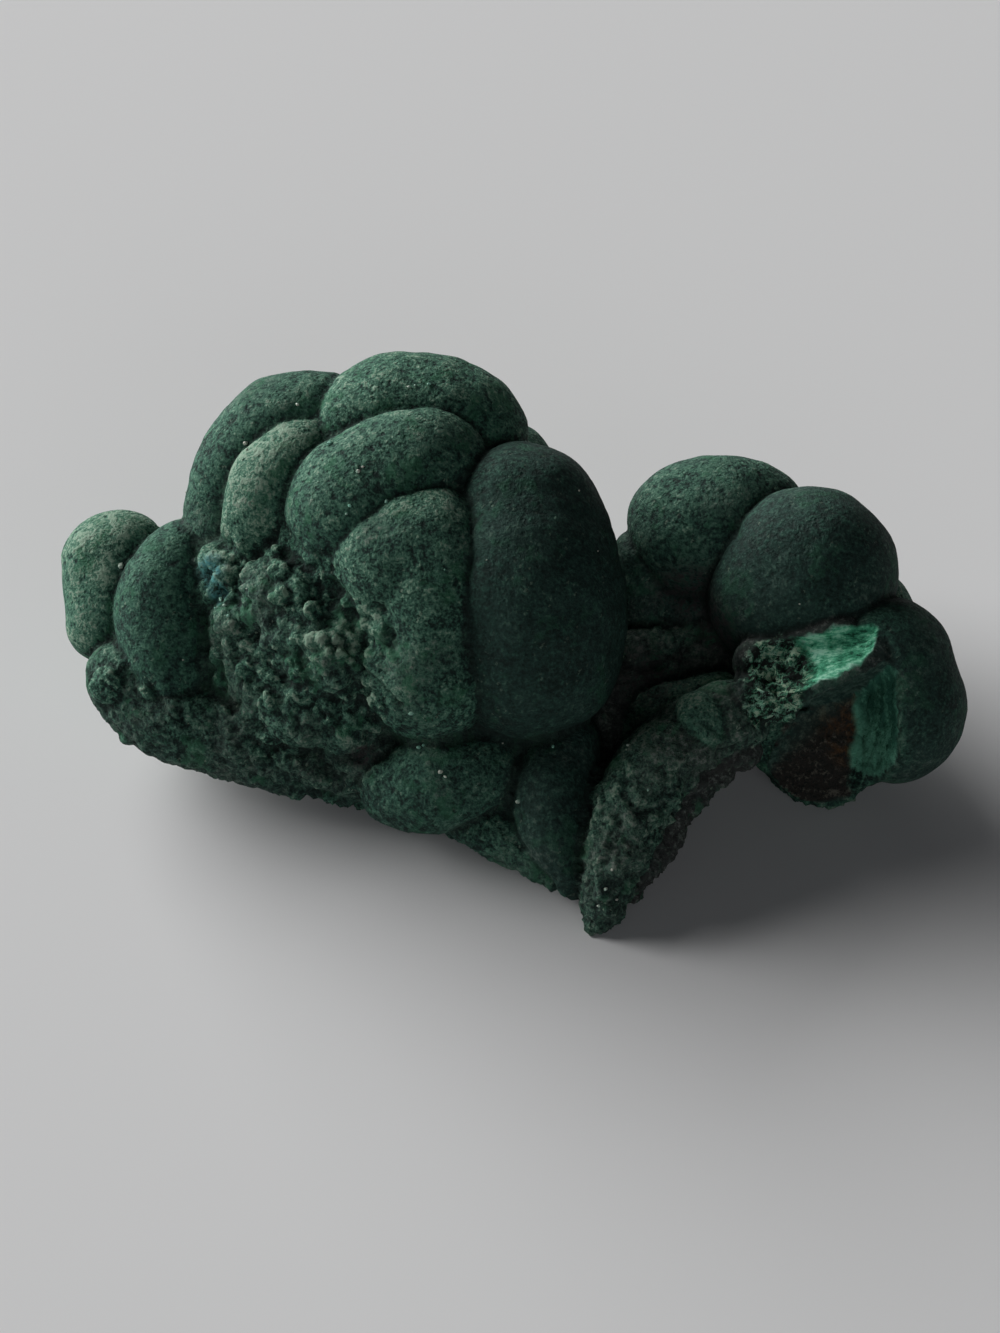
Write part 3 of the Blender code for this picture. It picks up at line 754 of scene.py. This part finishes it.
# Colours of the mineral itself from dark to bright, and the dust on it.
MINERAL = [
    (0.26, (0.009, 0.022, 0.018)), (0.45, (0.020, 0.055, 0.043)), (0.58, (0.036, 0.104, 0.070)),
    (0.76, (0.058, 0.215, 0.130)),
]
DUST = [(0.35, (0.048, 0.160, 0.104)), (0.85, (0.102, 0.218, 0.148)), (1.35, (0.225, 0.330, 0.245))]
FLECK_GLINT = (0.34, 0.46, 0.34)
LEAF_GREEN = (0.030, 0.130, 0.066)
# Dark for the creases and dips, partly real dirt and partly painted shade; the lining's dark grains use it
# too.
DARK_SHADE_AND_DIRT = (0.010, 0.014, 0.012)
PURPLE_BROWN = (0.042, 0.038, 0.038)
PURPLE_PALE = (0.125, 0.130, 0.122)
CYAN_BLOOM = (0.09, 0.30, 0.30)
EMERALD = [
    (0.28, (0.012, 0.080, 0.046)), (0.38, (0.050, 0.300, 0.165)), (0.50, (0.130, 0.540, 0.320)),
    (0.62, (0.420, 0.830, 0.620)),
]
GRIT_PALE = (0.46, 0.58, 0.42)
GRIT_GREEN = (0.045, 0.105, 0.062)
GRIT_DARK = (0.010, 0.014, 0.012)
RIND_LIGHT = (0.16, 0.48, 0.32)
RIND_DARK = (0.028, 0.125, 0.082)
RIND_PALE_TO, RIND_PALE_FROM = 9.5, 6.0  # the rind is palest low down; heights in mm
# Painted shade: the hollow's roof faces down and is painted dark in patches.
ROOF_SHADE = (0.016, 0.045, 0.036)
ROOF_PALE = (0.07, 0.13, 0.10)
LINING_BROWN = (0.028, 0.026, 0.022)
LINING_PALE = (0.120, 0.116, 0.092)
RUST = (0.110, 0.052, 0.017)

malachite = bpy.data.materials.new("malachite")
malachite.use_nodes = True
surface = malachite.node_tree.nodes["Principled BSDF"]
make = Nodes(malachite.node_tree)
place = make.add("TexCoord").outputs["Object"]
place = make.add("VectorMath", {0: place, 3: 1 / MM}, operation="SCALE").outputs[0]

crease, dip = make.value("crease"), make.value("dip")
patch = make.noise(place, 4.0, 2)
blotch = make.noise(place, 1.4, 3, 0.6)
mottle = make.noise(place, 0.42, 3, 0.7)
grain = make.noise(place, 0.17, 2, 0.6)
bent = make.add("VectorMath", {0: place, 1: make.times(mottle, 0.8)}, operation="ADD").outputs[0]
cell = make.spots(bent, 0.5, "Color")

def swing(value, share):
    """The part of a noise value above or below its middle, times the share."""
    return make.times(make.math("SUBTRACT", value, 0.5), share)


swings = make.step(make.value("bloom"), 0.0, 0.4, 0.45, 1.0)  # clean lobes are evener than dusty ones
tone = make.math("ADD", swing(patch, 0.7), swing(mottle, 1.5))
tone = make.math("ADD", tone, make.math("ADD", swing(cell, 0.16), swing(grain, 0.7)))
tone = make.math("ADD", make.times(tone, swings), make.math("ADD", 0.53, swing(make.value("bloom"), 0.25)))
mineral = make.ramp(tone, MINERAL)
cover = make.math("ADD", swing(blotch, 1.0), make.math("ADD", swing(mottle, 2.4), swing(grain, 1.4)))
# The pale cover is thicker on faces that look up.
cover = make.math("ADD", cover, make.math("ADD", swing(cell, 0.25), swing(make.value("upward"), 0.3)))
cover = make.math("ADD", make.times(cover, swings), make.value("bloom"))
# Less of the pale cover in the dips, darkening them partly as real wear and partly as painted shade, and
# painted shade on the spots listed for it.
less_dust_and_shade = make.math("ADD", make.times(dip, 3.0), make.times(make.value("painted_shade"), 0.6))
cover = make.math("SUBTRACT", cover, less_dust_and_shade)
# Painted light: paler on the lit nodules and, as a painted highlight, on the lit lobe edges by the creases.
painted_light_gain = make.math("ADD", make.times(make.value("painted_light"), 0.4), make.times(make.value("rim"), 0.15))
cover = make.math("ADD", cover, painted_light_gain)
skin_colour = make.mix(make.step(cover, 0.0, 1.0), mineral, make.ramp(cover, DUST))
umber = make.math("ADD", make.value("umber"), make.math("ADD", swing(patch, 1.0), swing(mottle, 1.0)))
brown_colour = make.mix(make.step(mottle, 0.50, 0.66), PURPLE_BROWN, PURPLE_PALE)
skin_colour = make.mix(make.times(make.step(umber, 0.1, 0.8), 0.85), skin_colour, brown_colour)
leafy = make.step(make.noise(place, 2.6, 3, 0.6), 0.54, 0.64)
leafy = make.times(leafy, make.step(cell, 0.2, 0.6), swings, 0.6)
skin_colour = make.mix(leafy, skin_colour, LEAF_GREEN)
# Pale flecks, partly real specks and partly painted glints.
fleck_glint = make.step(make.spots(bent, 0.45), 0.26, 0.14)
fleck_glint = make.times(fleck_glint, make.step(blotch, 0.50, 0.62), swings, 0.45)
skin_colour = make.mix(fleck_glint, skin_colour, FLECK_GLINT)
purple = make.times(make.value("purple"), make.step(mottle, 0.4, 0.6))
skin_colour = make.mix(purple, skin_colour, PURPLE_BROWN)
cyan = make.times(make.value("cyan"), make.step(mottle, 0.35, 0.65))
skin_colour = make.mix(cyan, skin_colour, CYAN_BLOOM)
# Creases and dips are darkened, partly as real dirt and partly as painted shade.
crease_shade_and_dirt = make.math("MAXIMUM", make.step(crease, 0.58, 1.0), make.step(dip, 0.03, 0.15))
skin_colour = make.mix(make.times(crease_shade_and_dirt, 0.5), skin_colour, DARK_SHADE_AND_DIRT)

fibre = make.add("Mapping", {"Vector": place, "Rotation": (0, 0, -0.35), "Scale": (0.22, 1, 1)}).outputs[0]
streak = make.noise(fibre, 0.30, 4, 0.7)
streak = make.math("ADD", streak, make.math("ADD", swing(blotch, 0.7), swing(mottle, 0.4)))
emerald = make.ramp(streak, EMERALD)
drawn = make.add("Mapping", {"Vector": bent, "Rotation": (0, 0, -0.35), "Scale": (0.5, 1, 1)}).outputs[0]
pitted = make.noise(drawn, 0.6, 4, 0.75)
grit_glow = make.mix(0.5, make.ramp(streak, EMERALD), GRIT_GREEN)
grit = make.mix(make.step(pitted, 0.46, 0.56), GRIT_DARK, grit_glow)
grit = make.mix(make.times(make.step(pitted, 0.54, 0.62), 0.9), grit, GRIT_PALE)
ragged = make.math("ADD", make.value("gritty"), swing(mottle, 1.2))
emerald = make.mix(make.step(ragged, 0.1, 0.7), emerald, grit)

swirl = make.math("ADD", make.times(mottle, 1.1), make.times(blotch, 1.6))
bands = make.math("SINE", make.times(make.math("ADD", make.value("depth"), swirl), 5.0))
low = make.step(make.add("SeparateXYZ", {"Vector": place}).outputs["Z"], RIND_PALE_TO, RIND_PALE_FROM)
shine = make.math("ADD", make.times(make.step(bands, -1.0, 1.0), 0.35), make.times(low, 0.5))
shine = make.math("ADD", shine, swing(mottle, 1.0))
rind_colour = make.mix(make.step(shine, 0.0, 0.9), RIND_DARK, RIND_LIGHT)
deep = make.step(make.math("ADD", make.value("depth"), mottle), 0.5, 1.1)
rind_colour = make.mix(deep, skin_colour, rind_colour)
lining_colour = make.mix(make.step(mottle, 0.5, 0.7), LINING_BROWN, LINING_PALE)
lining_colour = make.mix(make.step(grain, 0.5, 0.65), lining_colour, DARK_SHADE_AND_DIRT)
rusty = make.times(make.value("rust"), make.step(blotch, 0.36, 0.60), make.step(mottle, 0.35, 0.60), 0.85)
lining_colour = make.mix(rusty, lining_colour, RUST)
roof_colour = make.mix(make.step(mottle, 0.4, 0.7), ROOF_SHADE, ROOF_PALE)
inside_colour = make.mix(make.value("roof"), lining_colour, roof_colour)
inside_colour = make.mix(make.value("rind"), inside_colour, rind_colour)

skin_colour = make.mix(make.step(ragged, 0.4, 0.8), skin_colour, grit)
colour = make.mix(make.value("hollow"), skin_colour, inside_colour)
colour = make.mix(make.value("fresh"), colour, emerald)
malachite.node_tree.links.new(colour, surface.inputs["Base Color"])

pits = make.step(make.spots(place, 0.6), 0.08, 0.3)
relief = make.math("ADD", make.times(grain, 0.4), make.times(mottle, 0.8))
relief = make.math("ADD", relief, make.math("ADD", make.times(pits, 0.3), make.times(cell, 0.1)))
relief = make.times(relief, make.math("ADD", make.times(swings, 0.5), 0.5))
bump = make.add("Bump", {"Height": relief, "Distance": 0.20 * MM, "Strength": 1.0})
malachite.node_tree.links.new(bump.outputs["Normal"], surface.inputs["Normal"])
roughness = make.step(grain, 0.3, 0.7, 0.95, 0.72)
malachite.node_tree.links.new(roughness, surface.inputs["Roughness"])
surface.inputs["Specular IOR Level"].default_value = 0.2

skin.data.materials.clear()
skin.data.materials.append(malachite)
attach(skin, "root")
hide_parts("malachite")

# --- Pale grains and painted glints -----------------------------------------------------------
# A few crystals and grains of white grit that are caught in the creases and on the lobes, partly real
# grit and partly painted glints. Each is a small lump of carbonate half sunk in the skin, found by
# looking straight down the slope at it.

GRAIN_SINK = 0.35
GRAIN_WHITE_GLINT = (0.55, 0.56, 0.48)
GRAIN_GREEN = (0.20, 0.45, 0.34)
# Across, up, and radius in mm.
GRAINS = [
    (-11.7, 12.5, 0.26), (-25.9, 4.9, 0.26), (-8.0, 8.7, 0.20), (-17.4, 12.8, 0.18), (-17.2, 12.3, 0.12),
    (-14.0, 15.3, 0.15), (-6.7, 16.3, 0.15), (-6.3, 16.4, 0.10), (-5.4, 16.5, 0.15), (-9.8, 10.6, 0.16),
    (-9.5, 10.9, 0.12), (-10.3, 8.4, 0.15), (-10.5, 7.9, 0.11), (-6.4, -4.7, 0.20), (-6.0, -7.0, 0.18),
    (-5.7, -6.8, 0.12), (-4.6, -8.5, 0.20), (-4.3, -8.8, 0.14), (0.4, -10.4, 0.20), (2.6, -6.9, 0.14),
    (-19.0, 2.6, 0.20), (-18.7, 2.2, 0.16), (-19.3, 2.0, 0.12), (-18.4, 1.5, 0.14), (7.4, -6.8, 0.12),
    (5.9, -15.9, 0.16), (6.6, -16.6, 0.12), (6.3, -14.6, 0.12), (5.5, -17.0, 0.14), (8.6, -9.6, 0.12),
]
GRIT_COUNT = 12  # grains as small as dust that lie anywhere on the front
GRIT_RADIUS = 0.07
LOOK_FROM = 40  # how far out on the slope the grains are looked for from, mm

chance = random.Random(GRAPE_SEED)
grit = [(chance.uniform(-26, 22), chance.uniform(-8, 14), GRIT_RADIUS) for _ in range(GRIT_COUNT)]
out_way = on_slope(0, 0, 1) - on_slope(0, 0, 0)
shape = bmesh.new()
for across, up, radius in GRAINS + grit:
    above = on_slope(across, up, LOOK_FROM) * MM
    hit, spot, way, _ = skin.ray_cast(above, -out_way)
    if not hit:
        continue
    turn = Matrix.Rotation(chance.uniform(0, math.pi), 4, "Z")
    turn @= Matrix.Rotation(chance.uniform(0, math.pi), 4, "X")
    squeeze = Matrix.Diagonal((1, chance.uniform(0.6, 0.9), chance.uniform(0.6, 0.9), 1))
    middle = Matrix.Translation(spot + way * radius * MM * (1 - 2 * GRAIN_SINK))
    grain_shape = middle @ turn @ squeeze
    bmesh.ops.create_icosphere(shape, subdivisions=1, radius=radius * MM, matrix=grain_shape)
grains_mesh = bpy.data.meshes.new("grains_and_glints")
shape.to_mesh(grains_mesh)
shape.free()
grains = bpy.data.objects.new("grains_and_glints", grains_mesh)
scene.collection.objects.link(grains)

grain_and_glint = bpy.data.materials.new("grain_and_glint")
grain_and_glint.use_nodes = True
surface = grain_and_glint.node_tree.nodes["Principled BSDF"]
make = Nodes(grain_and_glint.node_tree)
place = make.add("TexCoord").outputs["Object"]
place = make.add("VectorMath", {0: place, 3: 1 / MM}, operation="SCALE").outputs[0]
colour = make.mix(make.step(make.noise(place, 2.0), 0.42, 0.58), GRAIN_WHITE_GLINT, GRAIN_GREEN)
grain_and_glint.node_tree.links.new(colour, surface.inputs["Base Color"])
grain_and_glint.node_tree.links.new(make.noise(place, 0.2), surface.inputs["Roughness"])
grains_mesh.materials.append(grain_and_glint)
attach(grains, "root")

# --- Floor ------------------------------------------------------------------------------------
# A plain sheet of pale, matt paper under the specimen, one flat face far larger than the view.

FLOOR_HALF = 3.0  # half of its side, m
PAPER = (0.78, 0.78, 0.78, 1)
floor_mesh = bpy.data.meshes.new("floor")
shape = bmesh.new()
bmesh.ops.create_grid(shape, x_segments=1, y_segments=1, size=FLOOR_HALF)
shape.to_mesh(floor_mesh)
shape.free()
floor = bpy.data.objects.new("floor", floor_mesh)
scene.collection.objects.link(floor)
paper = bpy.data.materials.new("paper")
paper.use_nodes = True
surface = paper.node_tree.nodes["Principled BSDF"]
surface.inputs["Base Color"].default_value = PAPER
surface.inputs["Roughness"].default_value = 0.95
floor_mesh.materials.append(paper)

# --- Light ------------------------------------------------------------------------------------
# One wide, soft window light from low at the back left, a weak fill from the front and a trace of
# light from the room, so that the shadows stay deep.

LIGHT_DISTANCE = 4.0  # m
WINDOW_POWER, FILL_POWER = 324, 19  # W
ROOM_TINT = (0.97, 0.99, 1.04)
ROOM_STRENGTH = 0.02


def toward(azimuth, elevation):
    """The direction at that azimuth, turned anticlockwise from +X, and elevation, both in degrees."""
    turn, rise = math.radians(azimuth), math.radians(elevation)
    return Vector((math.cos(turn) * math.cos(rise), math.sin(turn) * math.cos(rise), math.sin(rise)))


def soft_light(name, direction, width, height, power, colour):
    """A rectangle of light facing the specimen, with its sides in metres."""
    lamp = bpy.data.objects.new(name, bpy.data.lights.new(name, "AREA"))
    lamp.data.color = colour
    lamp.data.shape = "RECTANGLE"
    lamp.data.size, lamp.data.size_y = width, height
    lamp.data.energy = power
    lamp.location = direction * LIGHT_DISTANCE
    lamp.rotation_euler = direction.to_track_quat("Z", "Y").to_euler()
    lamp.visible_camera = False
    scene.collection.objects.link(lamp)


soft_light("window", toward(143, 22), 4.8, 2.4, WINDOW_POWER, (1, 1, 1))
soft_light("room_front", toward(-80, 22), 4.0, 2.0, FILL_POWER, ROOM_TINT)
room = bpy.data.worlds.new("room")
room.use_nodes = True
room.node_tree.nodes["Background"].inputs["Color"].default_value = (*ROOM_TINT, 1)
room.node_tree.nodes["Background"].inputs["Strength"].default_value = ROOM_STRENGTH
scene.world = room
scene.view_settings.view_transform = "Standard"
